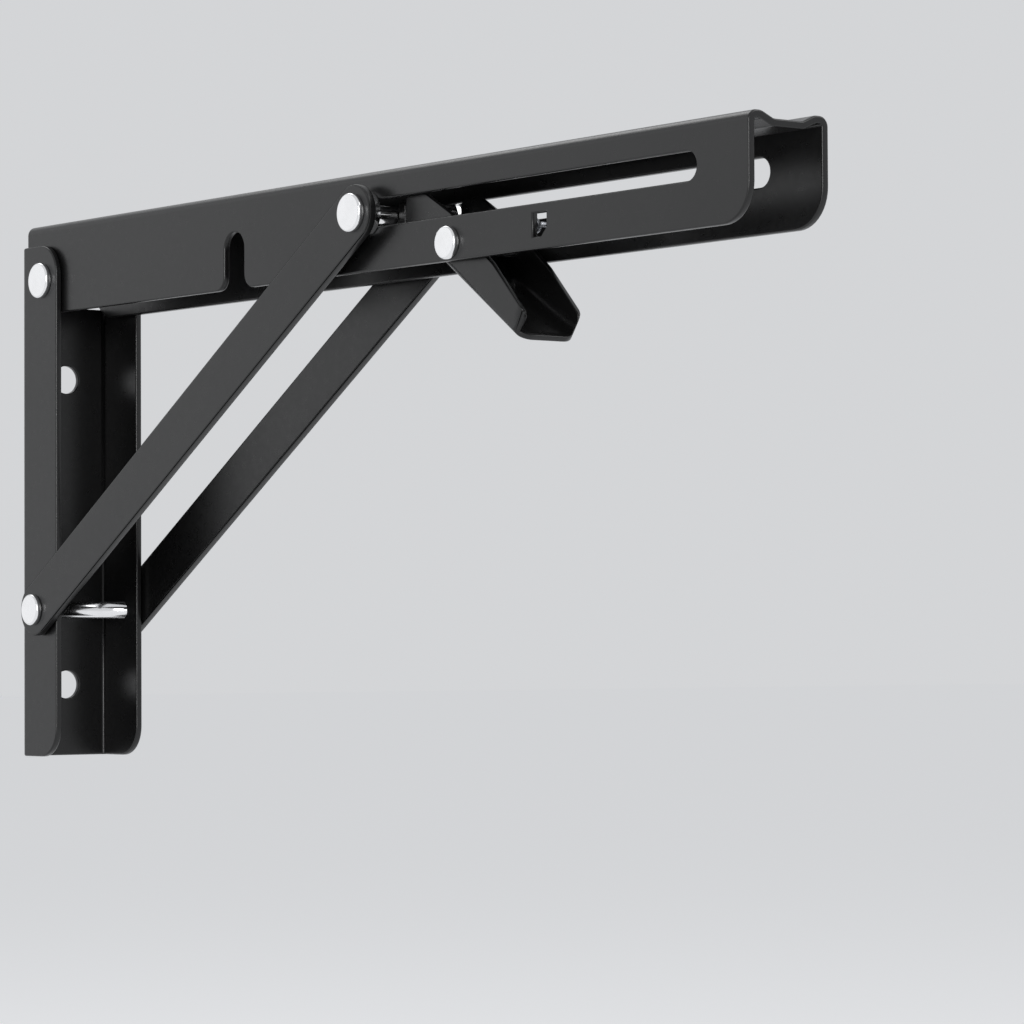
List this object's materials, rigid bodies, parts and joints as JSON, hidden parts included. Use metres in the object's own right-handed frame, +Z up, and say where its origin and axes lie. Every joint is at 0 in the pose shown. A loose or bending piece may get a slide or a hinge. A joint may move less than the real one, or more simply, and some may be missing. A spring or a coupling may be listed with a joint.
{
  "type": "folding shelf bracket",
  "caption": "Folding wall bracket with a U-shaped wall leg, a grooved shelf arm, flat side braces that slide in a slot, and a spring lever that locks them.",
  "frame": {"origin": "on the wall face, midway between the wall holes", "axes": "+X away from the wall along the open arm, +Z up along the wall leg, +Y across the bracket; the spring is on the -Y side"},
  "size_m": [0.3, 0.036, 0.145],
  "materials": {
    "black_coat": "satin black powder coat on steel sheet",
    "bright_rivet": "bright nickel plate",
    "spring_steel": "bright spring wire"
  },
  "bodies": {
    "wall": {"wall_leg": "black_coat", "arm_pivot_rivet": "bright_rivet", "brace_pivot_rivet": "bright_rivet"},
    "arm": {"shelf_arm": "black_coat", "lever_rivet": "bright_rivet", "return_spring": "spring_steel"},
    "lever": {"release_lever": "black_coat"},
    "slider": {"slide_rivet": "bright_rivet", "slide_spacer_near": "bright_rivet", "slide_spacer_far": "bright_rivet"},
    "braces": {"brace_near": "black_coat", "brace_far": "black_coat", "slide_head_near": "bright_rivet", "slide_head_far": "bright_rivet"}
  },
  "joints": [
    {"name": "arm_fold", "type": "hinge", "parent": "wall", "child": "arm", "pos_m": [0.0111, 0, 0.068], "axis": [0, 1, 0], "range_deg": [0, 90]},
    {"name": "brace_swing", "type": "hinge", "parent": "wall", "child": "braces", "pos_m": [0.0111, 0, -0.0216], "axis": [0, 1, 0], "range_deg": [0, 120.85]},
    {"name": "pin_slide", "type": "slide", "parent": "arm", "child": "slider", "axis": [1, 0, 0], "range_m": [0, 0.11714]},
    {"name": "lever_release", "type": "hinge", "parent": "arm", "child": "lever", "pos_m": [0.1923, 0, 0.0634], "axis": [0, -1, 0], "range_deg": [0, 30], "stiffness_Nm_per_rad": 0.3, "springref_deg": -20.05, "deforming": ["return_spring"]}
  ],
  "couplings": [
    {"joint": "brace_swing", "follows": "arm_fold", "ratio": 1.3428},
    {"joint": "pin_slide", "follows": "arm_fold", "m_per_rad": 0.074571}
  ]
}
